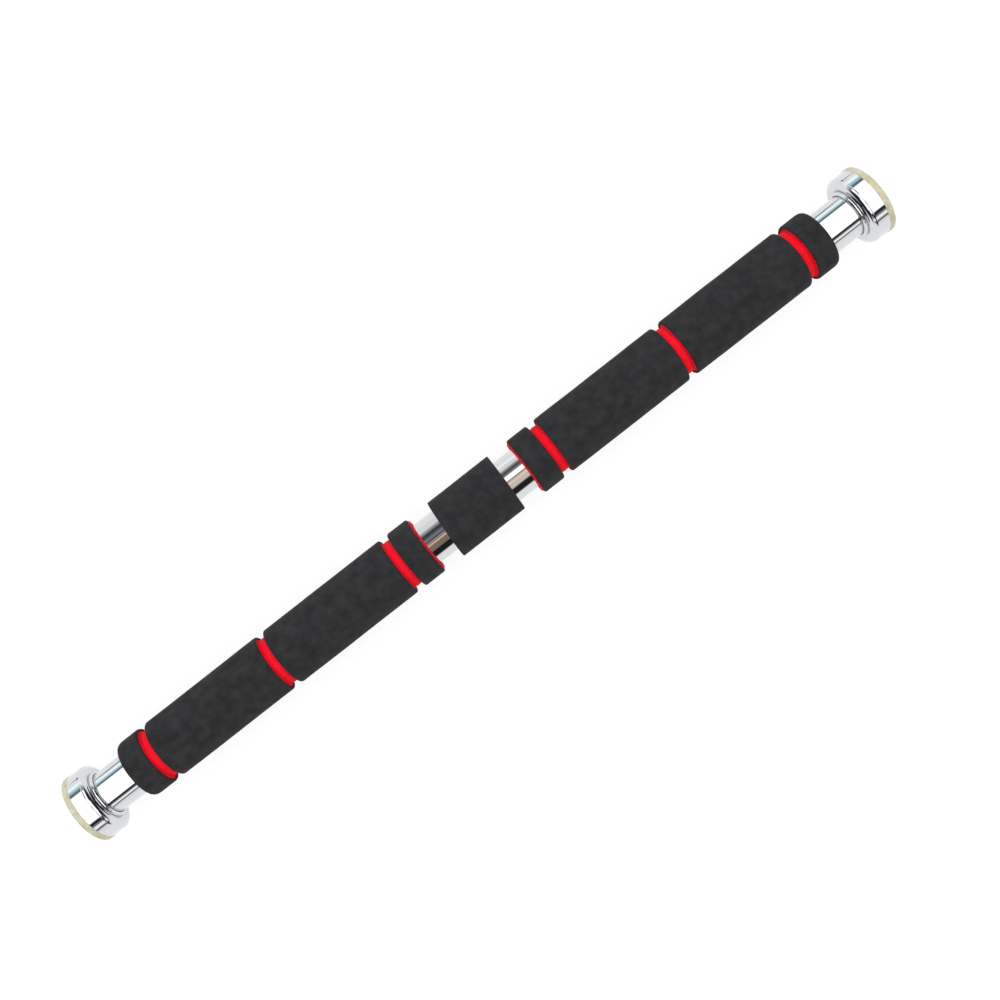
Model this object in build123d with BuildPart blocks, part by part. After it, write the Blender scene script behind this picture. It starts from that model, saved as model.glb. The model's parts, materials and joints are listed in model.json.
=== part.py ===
from build123d import *
import os

# Pull up bar for a door frame. The bar lies along X, with its middle at the origin and Z up.
# A main tube holds a lead screw, left-handed in its left half and right-handed in its right half.
# Each end is a cup and pad on an inner tube. A nut pressed into the inner tube runs on the screw, so
# turning the end against the main tube drives it out until the pads press on the frame.
# Sizes are in millimetres. A station is a distance from the middle of the bar, whichever the side.

# Whole bar
CLOSED_LENGTH = 640.0
TRAVEL = 180.0
HALF_LENGTH = CLOSED_LENGTH / 2
SIDES = {"left": -1, "right": 1}

# Foam: a black sleeve at the middle and, on each side, a red core carrying black bands
FOAM_R = 20.8
CORE_R = 19.2
SLEEVE_LENGTH = 49.0
GRIP_START = 40.7
GRIP_LENGTH = 236.0
GRIP_END = GRIP_START + GRIP_LENGTH
CORE_OVERHANG = 1.2
GROOVE_STATIONS = (59.8, 161.2, 258.7)
GROOVE_WIDTH = 6.0
GROOVE_FLOOR_WIDTH = 4.0
GROOVE_FLOOR_R = 17.8
BAND_ROUND = 1.4
CORE_ROUND = 1.2
SLEEVE_BREAK = 0.3

# End cup, backing disc and pad
PAD_R = 24.5
PAD_RIM = 4.9
PAD_BOSS_DEPTH = 1.0
PAD_ROUND = 0.9
PAD_RING_RADII = (9.0, 14.0, 19.0)
PAD_RING_WIDTH = 1.6
PAD_RING_DEPTH = 0.8
CUP_R = 24.15
CUP_WALL = 1.2
CUP_EDGE = HALF_LENGTH - PAD_RIM
CUP_BORE_R = CUP_R - CUP_WALL
SHOULDER_DEPTH = 4.2
SHOULDER_DROP = 4.6
SHOULDER_STATION = HALF_LENGTH - 12.8
FACE_STATION = SHOULDER_STATION - SHOULDER_DEPTH
FACE_THICKNESS = 3.0
BEAD_STATION = FACE_STATION + 0.6
BEAD_CREST_R = 17.0
BEAD_DEPTH = 1.9
BEAD_RISE = 1.4
BEAD_GROOVE_R = 16.5
BEAD_GROOVE_STATION = FACE_STATION + 1.3
MOUTH_R = 15.35
DISC_THICKNESS = 3.3
DISC_OUTER = CUP_EDGE - PAD_BOSS_DEPTH
DISC_INNER = DISC_OUTER - DISC_THICKNESS

# Main tube and its guide bushes
TUBE_R = 15.0
TUBE_WALL = 1.5
TUBE_BORE_R = TUBE_R - TUBE_WALL
TUBE_BREAK = 0.3
RUNNING_GAP = 0.05
BUSH_LENGTH = 24.0
BUSH_FLANGE = 1.5
BUSH_FLANGE_R = 14.8
BUSH_SLIT = 1.2
BUSH_SEAT_GAP = 0.1
CLOSED_GAP = 1.0
TUBE_END = DISC_INNER - CLOSED_GAP - BUSH_FLANGE - BUSH_SEAT_GAP
BUSH_INNER = TUBE_END - BUSH_LENGTH
SNAP_STATION = BUSH_INNER + 4.0
SNAP_WIDTH = 2.0
SNAP_GROOVE_WIDTH = 2.4
SNAP_GROOVE_R = 14.0
SNAP_GAP = 0.1

# Inner tube, its plug, screw and wear ring
INNER_R = 12.5
INNER_WALL = 1.5
INNER_BORE_R = INNER_R - INNER_WALL
INNER_START = 28.0
INNER_END = DISC_INNER
PLUG_LENGTH = 16.0
PLUG_CHAMFER = 0.5
WEAR_STATION = 40.0
WEAR_WIDTH = 12.0
WEAR_SEAT_R = 12.1
WEAR_RING_GAP = 0.08
WEAR_RING_R = TUBE_BORE_R - WEAR_RING_GAP
WEAR_SPLIT = 1.5
CUP_SCREW_R = 3.0
CUP_SCREW_LENGTH = 14.0
CUP_SCREW_HEAD_R = 5.8
CUP_SCREW_SINK = CUP_SCREW_HEAD_R - CUP_SCREW_R
HEX_FLATS = 4.0
HEX_DEPTH = 2.0

# Lead screw, its centre plug and cross pins
LEAD = 4.0
CREST_R = 8.0
ROOT_R = 5.75
ROOT_BITE = 0.3
THREAD_ROOT_WIDTH = 2.7
THREAD_CREST_WIDTH = 1.24
THREAD_GAP = 0.3
JOURNAL_END = 22.0
THREAD_START = 24.0
CENTRE_PLUG_LENGTH = 40.0
PIN_R = 2.5
PIN_LENGTH = 29.4
PIN_SPACING = 20.0

# Travel nut, stop washer and retaining clip
NUT_FLANGE = 4.0
NUT_FLANGE_R = 12.3
NUT_START = INNER_START - NUT_FLANGE
NUT_BODY = 24.0
NUT_END = INNER_START + NUT_BODY
STOP_GAP = 0.2
STOP_STATION = NUT_END + TRAVEL + STOP_GAP
STOP_WASHER_R = 10.4
STOP_THICKNESS = 2.0
SCREW_TAIL_R = 5.0
SCREW_TAIL_LENGTH = 6.0
SCREW_END = STOP_STATION + SCREW_TAIL_LENGTH
CLIP_THICKNESS = 1.0
CLIP_STATION = STOP_STATION + STOP_THICKNESS + 0.6 * CLIP_THICKNESS
CLIP_GROOVE_R = 4.5
CLIP_R = 7.0
CLIP_GAP = 4.0


def outward(sign: int) -> Plane:
    """The half-section plane of one side: local x is the station, local y the radius."""
    return Plane(origin=(0, 0, 0), x_dir=(sign, 0, 0), z_dir=(0, -sign, 0))


def across(sign: int, station: float) -> Plane:
    """A plane square to the bar at a station, with its normal pointing outward."""
    return Plane(origin=(sign * station, 0, 0), x_dir=(0, 1, 0), z_dir=(sign, 0, 0))


def ring(start: float, end: float, inner: float, outer: float, mode: Mode = Mode.ADD) -> None:
    """Draws the half-section of a ring between two stations and two radii."""
    with Locations((start, inner)):
        Rectangle(end - start, outer - inner, align=Align.MIN, mode=mode)


def write(piece: BuildPart, label: str) -> None:
    """Labels a finished piece and writes its STEP file."""
    piece.part.label = label
    export_step(piece.part, f"parts/{label}.step")


def thread(
    sign: int,
    start: float,
    length: float,
    root_r: float,
    crest_r: float,
    root_width: float,
    crest_width: float,
) -> Part:
    """One helical ridge of the lead screw's pitch, standing outward or inward from its root."""
    middle, along = Vector(sign * start, 0, 0), Vector(sign, 0, 0)
    with BuildPart() as ridge:
        with BuildLine() as path:
            Helix(LEAD, length, ROOT_R, center=middle, direction=along, lefthand=sign < 0)
        radial = (path.line @ 0) - middle
        with BuildSketch(Plane(origin=middle, x_dir=radial, z_dir=radial.cross(along))):
            with BuildLine():
                Polyline(
                    (root_r, -root_width / 2),
                    (crest_r, -crest_width / 2),
                    (crest_r, crest_width / 2),
                    (root_r, root_width / 2),
                    close=True,
                )
            make_face()
        sweep(path=path.wire(), is_frenet=True)
    return ridge.part


def make_main_tube() -> BuildPart:
    """The chromed tube, with snap grooves for the bushes and holes for the cross pins."""
    with BuildPart() as tube:
        with BuildSketch(outward(1)):
            ring(-TUBE_END, TUBE_END, TUBE_BORE_R, TUBE_R)
            for sign in SIDES.values():
                with Locations((sign * SNAP_STATION, TUBE_BORE_R)):
                    Rectangle(SNAP_GROOVE_WIDTH, 2 * (SNAP_GROOVE_R - TUBE_BORE_R), mode=Mode.SUBTRACT)
        revolve(axis=Axis.X)
        rims = tube.edges().filter_by(GeomType.CIRCLE).group_by(Axis.X)
        chamfer(rims[0] + rims[-1], TUBE_BREAK)
        with Locations(Plane.XY.offset(TUBE_R)):
            with GridLocations(PIN_SPACING, 0, 2, 1):
                Hole(PIN_R, depth=2 * TUBE_R)
    return tube


def make_centre_plug() -> BuildPart:
    """The bored plug that carries the screw's plain middle inside the main tube."""
    with BuildPart() as plug:
        with BuildSketch(outward(1)):
            ring(-CENTRE_PLUG_LENGTH / 2, CENTRE_PLUG_LENGTH / 2, CREST_R, TUBE_BORE_R)
        revolve(axis=Axis.X)
        with Locations(Plane.XY.offset(TUBE_R)):
            with GridLocations(PIN_SPACING, 0, 2, 1):
                Hole(PIN_R, depth=2 * TUBE_R)
    return plug


def make_lead_screw() -> BuildPart:
    """One rod: a plain middle, two threads of opposite hand, and a grooved tail at each end."""
    with BuildPart() as screw:
        with BuildSketch(outward(1)):
            ring(-JOURNAL_END, JOURNAL_END, 0, CREST_R)
            ring(-STOP_STATION, STOP_STATION, 0, ROOT_R)
            ring(-SCREW_END, SCREW_END, 0, SCREW_TAIL_R)
            for sign in SIDES.values():
                with Locations((sign * CLIP_STATION, SCREW_TAIL_R)):
                    Rectangle(CLIP_THICKNESS, 2 * (SCREW_TAIL_R - CLIP_GROOVE_R), mode=Mode.SUBTRACT)
        revolve(axis=Axis.X)
        with Locations(Plane.XY.offset(TUBE_R)):
            with GridLocations(PIN_SPACING, 0, 2, 1):
                Hole(PIN_R, depth=2 * TUBE_R)
        length = NUT_END + TRAVEL - THREAD_START - LEAD
        widths = (THREAD_ROOT_WIDTH, THREAD_CREST_WIDTH)
        for sign in SIDES.values():
            add(thread(sign, THREAD_START, length, ROOT_R - ROOT_BITE, CREST_R, *widths))
    return screw


def make_cross_pins() -> BuildPart:
    """The two pins through tube, plug and screw, hidden under the centre sleeve."""
    with BuildPart() as pins:
        with GridLocations(PIN_SPACING, 0, 2, 1):
            Cylinder(PIN_R, PIN_LENGTH)
        chamfer(pins.edges().filter_by(GeomType.CIRCLE), TUBE_BREAK)
    return pins


def make_stop_washers() -> BuildPart:
    """The two thick washers that stop the nuts at full travel."""
    with BuildPart() as washers:
        for sign in SIDES.values():
            with BuildSketch(outward(sign)):
                ring(STOP_STATION, STOP_STATION + STOP_THICKNESS, SCREW_TAIL_R, STOP_WASHER_R)
            revolve(axis=Axis.X)
    return washers


def make_retaining_clips() -> BuildPart:
    """The two open spring clips that hold the stop washers on the screw's tails."""
    with BuildPart() as clips:
        for sign in SIDES.values():
            with BuildSketch(across(sign, CLIP_STATION - CLIP_THICKNESS / 2)):
                Circle(CLIP_R)
                Circle(CLIP_GROOVE_R, mode=Mode.SUBTRACT)
                with Locations((0, CLIP_R)):
                    Rectangle(CLIP_GAP, 2 * CLIP_R, mode=Mode.SUBTRACT)
            extrude(amount=CLIP_THICKNESS)
    return clips


def make_centre_sleeve() -> BuildPart:
    """The square-cut foam sleeve over the middle of the tube."""
    with BuildPart() as sleeve:
        with BuildSketch(outward(1)):
            ring(-SLEEVE_LENGTH / 2, SLEEVE_LENGTH / 2, TUBE_R, FOAM_R)
        revolve(axis=Axis.X)
        rims = sleeve.edges().filter_by(GeomType.CIRCLE).sort_by(SortBy.RADIUS)[-2:]
        chamfer(rims, SLEEVE_BREAK)
    return sleeve


def make_grip_core(sign: int) -> BuildPart:
    """The red foam core, which ends just past its bands and has a groove between each two."""
    with BuildPart() as core:
        with BuildSketch(outward(sign)):
            ring(GRIP_START - CORE_OVERHANG, GRIP_END + CORE_OVERHANG, TUBE_R, CORE_R)
            for station in GROOVE_STATIONS:
                with BuildLine():
                    Polyline(
                        (station - GROOVE_WIDTH / 2, CORE_R),
                        (station - GROOVE_FLOOR_WIDTH / 2, GROOVE_FLOOR_R),
                        (station + GROOVE_FLOOR_WIDTH / 2, GROOVE_FLOOR_R),
                        (station + GROOVE_WIDTH / 2, CORE_R),
                        close=True,
                    )
                make_face(mode=Mode.SUBTRACT)
        revolve(axis=Axis.X)
        rims = core.edges().filter_by(GeomType.CIRCLE).group_by(Axis.X)
        fillet(rims[0].sort_by(SortBy.RADIUS)[-1:] + rims[-1].sort_by(SortBy.RADIUS)[-1:], CORE_ROUND)
    return core


def make_grip_band(sign: int, start: float, end: float) -> BuildPart:
    """A black foam band round the core between two stations, with its outer edges rounded."""
    with BuildPart() as band:
        with BuildSketch(outward(sign)):
            ring(start, end, CORE_R, FOAM_R)
        revolve(axis=Axis.X)
        fillet(band.edges().filter_by(GeomType.CIRCLE).sort_by(SortBy.RADIUS)[-2:], BAND_ROUND)
    return band


def band_spans() -> list[tuple[float, float]]:
    """The start and end stations of a grip's black bands, which its grooves divide."""
    cuts = [GRIP_START]
    for station in GROOVE_STATIONS:
        cuts += [station - GROOVE_WIDTH / 2, station + GROOVE_WIDTH / 2]
    cuts.append(GRIP_END)
    return list(zip(cuts[0::2], cuts[1::2]))


def make_guide_bush(sign: int) -> BuildPart:
    """The slit nylon bush that guides the inner tube and snaps into the main tube's mouth."""
    bore, barrel = INNER_R + RUNNING_GAP, TUBE_BORE_R - RUNNING_GAP
    seat = TUBE_END + BUSH_SEAT_GAP
    with BuildPart() as bush:
        with BuildSketch(outward(sign)):
            ring(BUSH_INNER, seat, bore, barrel)
            ring(seat, seat + BUSH_FLANGE, bore, BUSH_FLANGE_R)
            snap_half = SNAP_WIDTH / 2
            ring(SNAP_STATION - snap_half, SNAP_STATION + snap_half, bore, SNAP_GROOVE_R - SNAP_GAP)
        revolve(axis=Axis.X)
        with BuildSketch(across(sign, BUSH_INNER)):
            with Locations((0, TUBE_BORE_R)):
                Rectangle(BUSH_SLIT, 4 * TUBE_WALL)
        extrude(amount=BUSH_LENGTH, mode=Mode.SUBTRACT)
    return bush


def make_inner_tube(sign: int) -> BuildPart:
    """The chromed tube that telescopes out, with a seat for its wear ring."""
    with BuildPart() as tube:
        with BuildSketch(outward(sign)):
            ring(INNER_START, INNER_END, INNER_BORE_R, INNER_R)
            seat_half = WEAR_WIDTH / 2
            ring(WEAR_STATION - seat_half, WEAR_STATION + seat_half, WEAR_SEAT_R, INNER_R, Mode.SUBTRACT)
        revolve(axis=Axis.X)
    return tube


def make_wear_ring(sign: int) -> BuildPart:
    """The split nylon ring that centres the inner tube in the main tube's bore."""
    with BuildPart() as wear:
        with BuildSketch(across(sign, WEAR_STATION - WEAR_WIDTH / 2)):
            Circle(WEAR_RING_R)
            Circle(WEAR_SEAT_R, mode=Mode.SUBTRACT)
            with Locations((0, WEAR_RING_R)):
                Rectangle(WEAR_SPLIT, 2 * TUBE_WALL + 2 * RUNNING_GAP, mode=Mode.SUBTRACT)
        extrude(amount=WEAR_WIDTH)
    return wear


def make_travel_nut(sign: int) -> BuildPart:
    """The flanged nut in the inner tube's inner end, whose thread fills the lead screw's groove."""
    bore = CREST_R + THREAD_GAP
    widths = [LEAD - width - 2 * THREAD_GAP for width in (THREAD_CREST_WIDTH, THREAD_ROOT_WIDTH)]
    length = NUT_END - NUT_START - LEAD
    with BuildPart() as nut:
        with BuildSketch(outward(sign)):
            ring(NUT_START, INNER_START, bore, NUT_FLANGE_R)
            ring(INNER_START, NUT_END, bore, INNER_BORE_R)
        revolve(axis=Axis.X)
        ridge_start = THREAD_START + LEAD / 2
        add(thread(sign, ridge_start, length, bore + ROOT_BITE, ROOT_R + THREAD_GAP, *widths))
    return nut


def make_tube_plug(sign: int) -> BuildPart:
    """The steel plug in the inner tube's outer end, drilled and tapped for the cup screw."""
    with BuildPart() as plug:
        with BuildSketch(outward(sign)):
            ring(INNER_END - PLUG_LENGTH, INNER_END, CUP_SCREW_R, INNER_BORE_R)
        revolve(axis=Axis.X)
        chamfer(plug.edges().filter_by(GeomType.CIRCLE).sort_by(SortBy.RADIUS)[-2:], PLUG_CHAMFER)
    return plug


def make_backing_disc(sign: int) -> BuildPart:
    """The steel disc welded inside the cup, countersunk for the cup screw."""
    with BuildPart() as disc:
        with BuildSketch(across(sign, DISC_INNER)):
            Circle(CUP_BORE_R)
        extrude(amount=DISC_THICKNESS)
        with Locations(across(sign, DISC_OUTER)):
            CounterSinkHole(CUP_SCREW_R, CUP_SCREW_HEAD_R, counter_sink_angle=90)
    return disc


def make_cup_screw(sign: int) -> BuildPart:
    """The countersunk hexagon socket screw that clamps the disc to the tube's plug."""
    with BuildPart() as screw:
        with BuildSketch(outward(sign)):
            with BuildLine():
                Polyline(
                    (DISC_OUTER, 0),
                    (DISC_OUTER, CUP_SCREW_HEAD_R),
                    (DISC_OUTER - CUP_SCREW_SINK, CUP_SCREW_R),
                    (DISC_OUTER - CUP_SCREW_LENGTH, CUP_SCREW_R),
                    (DISC_OUTER - CUP_SCREW_LENGTH, 0),
                    close=True,
                )
            make_face()
        revolve(axis=Axis.X)
        with BuildSketch(across(sign, DISC_OUTER)):
            RegularPolygon(HEX_FLATS / 2, 6, major_radius=False)
        extrude(amount=-HEX_DEPTH, mode=Mode.SUBTRACT)
    return screw


def make_end_cup(sign: int) -> BuildPart:
    """The pressed bell: a straight wall, a domed shoulder, and a rolled bead round its mouth."""
    shoulder_r = CUP_R - SHOULDER_DROP
    dome = (SHOULDER_STATION, shoulder_r)
    bead = (BEAD_STATION, BEAD_CREST_R - BEAD_RISE)
    inner_face = FACE_STATION + FACE_THICKNESS
    with BuildPart() as cup:
        with BuildSketch(outward(sign)):
            with BuildLine():
                Line((CUP_EDGE, CUP_BORE_R), (CUP_EDGE, CUP_R))
                Line((CUP_EDGE, CUP_R), (SHOULDER_STATION, CUP_R))
                EllipticalCenterArc(dome, SHOULDER_DEPTH, SHOULDER_DROP, start_angle=90, arc_size=90)
                Line((FACE_STATION, shoulder_r), (BEAD_GROOVE_STATION, BEAD_GROOVE_R))
                EllipticalCenterArc(
                    (BEAD_STATION, BEAD_GROOVE_R),
                    BEAD_GROOVE_STATION - BEAD_STATION,
                    BEAD_CREST_R - BEAD_GROOVE_R,
                    start_angle=0,
                    arc_size=90,
                )
                EllipticalCenterArc(bead, BEAD_DEPTH, BEAD_RISE, start_angle=90, arc_size=90)
                Polyline(
                    (BEAD_STATION - BEAD_DEPTH, BEAD_CREST_R - BEAD_RISE),
                    (BEAD_STATION - BEAD_DEPTH, MOUTH_R),
                    (inner_face, MOUTH_R),
                    (inner_face, shoulder_r - CUP_WALL),
                    (FACE_STATION + CUP_WALL, shoulder_r),
                )
                EllipticalCenterArc(
                    dome, SHOULDER_DEPTH - CUP_WALL, SHOULDER_DROP - CUP_WALL, start_angle=90, arc_size=90
                )
                Line((SHOULDER_STATION, CUP_BORE_R), (CUP_EDGE, CUP_BORE_R))
            make_face()
        revolve(axis=Axis.X)
    return cup


def make_end_pad(sign: int) -> BuildPart:
    """The soft pad: a rim over the cup's edge, a boss inside it, and rings cut in its flat face."""
    with BuildPart() as pad:
        with BuildSketch(outward(sign)):
            ring(CUP_EDGE, HALF_LENGTH, 0, PAD_R)
            ring(DISC_OUTER, CUP_EDGE, 0, CUP_BORE_R)
            for radius in PAD_RING_RADII:
                half = PAD_RING_WIDTH / 2
                ring(HALF_LENGTH - PAD_RING_DEPTH, HALF_LENGTH, radius - half, radius + half, Mode.SUBTRACT)
        revolve(axis=Axis.X)
        fillet(pad.edges().filter_by(GeomType.CIRCLE).sort_by(SortBy.RADIUS)[-2:], PAD_ROUND)
    return pad


os.makedirs("parts", exist_ok=True)

write(make_main_tube(), "main_tube")
write(make_centre_plug(), "centre_plug")
write(make_lead_screw(), "lead_screw")
write(make_cross_pins(), "cross_pins")
write(make_stop_washers(), "stop_washers")
write(make_retaining_clips(), "retaining_clips")
write(make_centre_sleeve(), "centre_sleeve")

for side, sign in SIDES.items():
    write(make_grip_core(sign), f"{side}_grip_core")
    for number, (start, end) in enumerate(band_spans(), start=1):
        write(make_grip_band(sign, start, end), f"{side}_grip_band_{number}")
    write(make_guide_bush(sign), f"{side}_guide_bush")
    write(make_inner_tube(sign), f"{side}_inner_tube")
    write(make_wear_ring(sign), f"{side}_wear_ring")
    write(make_travel_nut(sign), f"{side}_travel_nut")
    write(make_tube_plug(sign), f"{side}_tube_plug")
    write(make_backing_disc(sign), f"{side}_backing_disc")
    write(make_cup_screw(sign), f"{side}_cup_screw")
    write(make_end_cup(sign), f"{side}_end_cup")
    write(make_end_pad(sign), f"{side}_end_pad")
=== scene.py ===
"""A doorway pull up bar: chromed tube, red and black foam grips, and padded screw-out end cups.

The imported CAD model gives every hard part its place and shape. This script gives those parts
their finishes, builds the foam and the pads as meshes of their own, and sets up a table-top studio.
Sizes are written in millimetres and turned to metres where a mesh or a node needs them. Stations
are distances from the middle of the bar along X, as in the CAD source.
"""

from __future__ import annotations

import json
import logging
import math
from dataclasses import dataclass, field
from enum import Enum
from typing import Callable, Iterable

import bmesh
import bpy
import numpy as np
from mathutils import Matrix, Vector, noise

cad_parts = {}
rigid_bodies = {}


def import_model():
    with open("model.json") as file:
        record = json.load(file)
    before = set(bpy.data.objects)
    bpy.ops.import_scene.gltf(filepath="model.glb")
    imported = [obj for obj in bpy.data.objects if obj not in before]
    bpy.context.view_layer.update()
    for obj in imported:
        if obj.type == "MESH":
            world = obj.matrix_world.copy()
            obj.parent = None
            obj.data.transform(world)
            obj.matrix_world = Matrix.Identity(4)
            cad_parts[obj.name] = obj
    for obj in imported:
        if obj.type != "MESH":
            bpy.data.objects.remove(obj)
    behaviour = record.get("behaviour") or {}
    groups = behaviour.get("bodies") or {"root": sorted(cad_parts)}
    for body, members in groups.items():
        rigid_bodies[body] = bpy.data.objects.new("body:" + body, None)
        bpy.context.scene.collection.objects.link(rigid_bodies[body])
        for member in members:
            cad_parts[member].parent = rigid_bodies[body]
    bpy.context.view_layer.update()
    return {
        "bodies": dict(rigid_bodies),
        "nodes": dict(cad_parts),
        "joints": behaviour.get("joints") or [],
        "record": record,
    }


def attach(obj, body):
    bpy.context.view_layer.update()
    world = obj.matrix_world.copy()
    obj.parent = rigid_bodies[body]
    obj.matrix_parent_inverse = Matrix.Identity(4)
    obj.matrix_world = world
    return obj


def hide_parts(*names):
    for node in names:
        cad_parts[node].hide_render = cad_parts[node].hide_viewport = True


MM = 0.001
WELD_MM = 0.001
WAVE_RADIANS = 20.0  # what a wave texture's bands turn through in one unit of its scale
LOG = logging.getLogger("pull_up_bar")

Point = tuple[float, float]
Span = tuple[float, float]
Outline = list[Point]
Colour = tuple[float, float, float, float]
Band = tuple[float, float, tuple[float, float, float]]
Shape = Callable[[np.ndarray, np.ndarray, np.ndarray], tuple[np.ndarray, np.ndarray]]


class Side(Enum):
    """The two ends of the bar, with the direction in which each lies along X."""

    LEFT = -1
    RIGHT = 1

    @property
    def word(self) -> str:
        """The side's name as the CAD nodes spell it."""
        return self.name.lower()


def linear(colour: str) -> Colour:
    """Turns an sRGB hex colour into linear values, by the curve that the sRGB standard gives.

    Args:
        colour: A hash and six hex digits.

    Returns:
        Linear red, green and blue, and an alpha of 1.
    """
    channels = (int(colour[i : i + 2], 16) / 255 for i in (1, 3, 5))
    red, green, blue = (c / 12.92 if c <= 0.04045 else ((c + 0.055) / 1.055) ** 2.4 for c in channels)
    return red, green, blue, 1.0


def per_mm(size_mm: float) -> float:
    """The scale of a procedural texture whose features should be this many millimetres across."""
    return 1.0 / (size_mm * MM)


def add_node(
    tree: bpy.types.NodeTree, kind: str, settings: dict | None = None, links: dict | None = None
) -> bpy.types.Node:
    """Adds a node with its settings and its incoming links.

    Args:
        tree: The node tree to add to.
        kind: The node's type name, such as ShaderNodeTexNoise.
        settings: Values by input name or number, or else by attribute. The key "stops" holds a
            colour ramp's stops as (position, colour) pairs.
        links: Output sockets by the input name or number that they feed.

    Returns:
        The new node.
    """
    node = tree.nodes.new(kind)
    for key, value in (settings or {}).items():
        if key == "stops":
            elements = node.color_ramp.elements
            while len(elements) < len(value):
                elements.new(1.0)
            for element, (position, colour) in zip(elements, value):
                element.position, element.color = position, colour
        elif isinstance(key, int) or key in node.inputs:
            node.inputs[key].default_value = value
        else:
            setattr(node, key, value)
    for key, output in (links or {}).items():
        tree.links.new(output, node.inputs[key])
    return node


def new_material(name: str) -> tuple[bpy.types.Material, bpy.types.NodeTree, bpy.types.Node]:
    """Makes an empty node material.

    Args:
        name: The material's name.

    Returns:
        The material, its node tree, and its output node.
    """
    material = bpy.data.materials.new(name)
    material.use_nodes = True
    tree = material.node_tree
    tree.nodes.clear()
    return material, tree, add_node(tree, "ShaderNodeOutputMaterial")


# ---------------------------------------------------------------------------------------------
# Finishes
# ---------------------------------------------------------------------------------------------


@dataclass(frozen=True)
class ChromePlate:
    """Bright nickel and chrome plate on polished mild steel tube.

    Polishing leaves lines along a tube as it is drawn past the mop, and round a pressing as it spins
    under it. They are far finer than a millimetre, so here they are as coarse as shows, and faint:
    the eye gets a hard mirror whose reflections waver a little. The haze is how many times rougher
    the dullest lines are than the brightest.
    """

    name: str
    colour: str = "#D6D8DA"
    roughness: float = 0.028
    line_mm: float = 0.9
    line_length_mm: float = 60.0
    line_height_mm: float = 0.0011
    haze: float = 2.2
    round_the_axis: bool = False

    def build(self) -> bpy.types.Material:
        """Makes the material.

        Returns:
            The material, with the name of this finish.
        """
        material, tree, output = new_material(self.name)
        place = add_node(tree, "ShaderNodeTexCoord")
        along, across = per_mm(self.line_length_mm), per_mm(self.line_mm)
        scale = (across, along, along) if self.round_the_axis else (along, across, across)
        stretch = add_node(tree, "ShaderNodeMapping", {"Scale": scale}, {"Vector": place.outputs["Object"]})
        lines = add_node(
            tree, "ShaderNodeTexNoise", {"Scale": 1.0, "Detail": 3.0}, {"Vector": stretch.outputs[0]}
        )
        bump = add_node(
            tree,
            "ShaderNodeBump",
            {"Distance": self.line_height_mm * MM, "Strength": 1.0},
            {"Height": lines.outputs["Fac"]},
        )
        rough = self.roughness * self.haze
        haze = add_node(
            tree,
            "ShaderNodeMapRange",
            {"From Min": 0.3, "From Max": 0.75, "To Min": self.roughness, "To Max": rough},
            {"Value": lines.outputs["Fac"]},
        )
        shader = add_node(
            tree,
            "ShaderNodeBsdfPrincipled",
            {"Base Color": linear(self.colour), "Metallic": 1.0},
            {"Roughness": haze.outputs[0], "Normal": bump.outputs[0]},
        )
        tree.links.new(shader.outputs[0], output.inputs["Surface"])
        return material


@dataclass(frozen=True)
class NitrileFoam:
    """Closed-cell nitrile rubber foam, extruded as a tube and ground to size.

    Grinding opens the outermost cells, about 0.4 mm across, so the skin is dead matt with a fine
    pitted grain and a little bloom that lifts it at grazing angles. The cells are drawn about three
    times too large, because the real ones are finer than the render shows. In the relief, they count
    cell_share times as much as the finer grain.
    """

    name: str
    colour: str
    bloom_colour: str
    pore_mm: float = 1.3
    pore_depth_mm: float = 0.16
    cell_share: float = 0.6
    mottle_mm: float = 7.0
    roughness: float = 0.95
    sheen: float = 0.01

    def build(self) -> bpy.types.Material:
        """Makes the material.

        Returns:
            The material, with the name of this finish.
        """
        material, tree, output = new_material(self.name)
        place = add_node(tree, "ShaderNodeTexCoord").outputs["Object"]
        cells = add_node(
            tree,
            "ShaderNodeTexVoronoi",
            {"Scale": per_mm(self.pore_mm), "Randomness": 1.0},
            {"Vector": place},
        )
        grain = add_node(
            tree, "ShaderNodeTexNoise", {"Scale": per_mm(self.pore_mm / 2), "Detail": 4.0}, {"Vector": place}
        )
        relief = add_node(
            tree,
            "ShaderNodeMath",
            {"operation": "MULTIPLY_ADD", 1: self.cell_share},
            {0: cells.outputs["Distance"], 2: grain.outputs["Fac"]},
        )
        bump = add_node(
            tree,
            "ShaderNodeBump",
            {"Distance": self.pore_depth_mm * MM, "Strength": 1.0},
            {"Height": relief.outputs[0]},
        )
        mottle = add_node(
            tree, "ShaderNodeTexNoise", {"Scale": per_mm(self.mottle_mm), "Detail": 6.0}, {"Vector": place}
        )
        tint = add_node(
            tree,
            "ShaderNodeValToRGB",
            {"stops": [(0.35, linear(self.colour)), (0.72, linear(self.bloom_colour))]},
            {"Fac": mottle.outputs["Fac"]},
        )
        shader = add_node(
            tree,
            "ShaderNodeBsdfPrincipled",
            {
                "Roughness": self.roughness,
                "IOR": 1.5,
                "Specular IOR Level": 0.15,
                "Sheen Weight": self.sheen,
            },
            {"Base Color": tint.outputs["Color"], "Normal": bump.outputs[0]},
        )
        tree.links.new(shader.outputs[0], output.inputs["Surface"])
        return material


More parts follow.
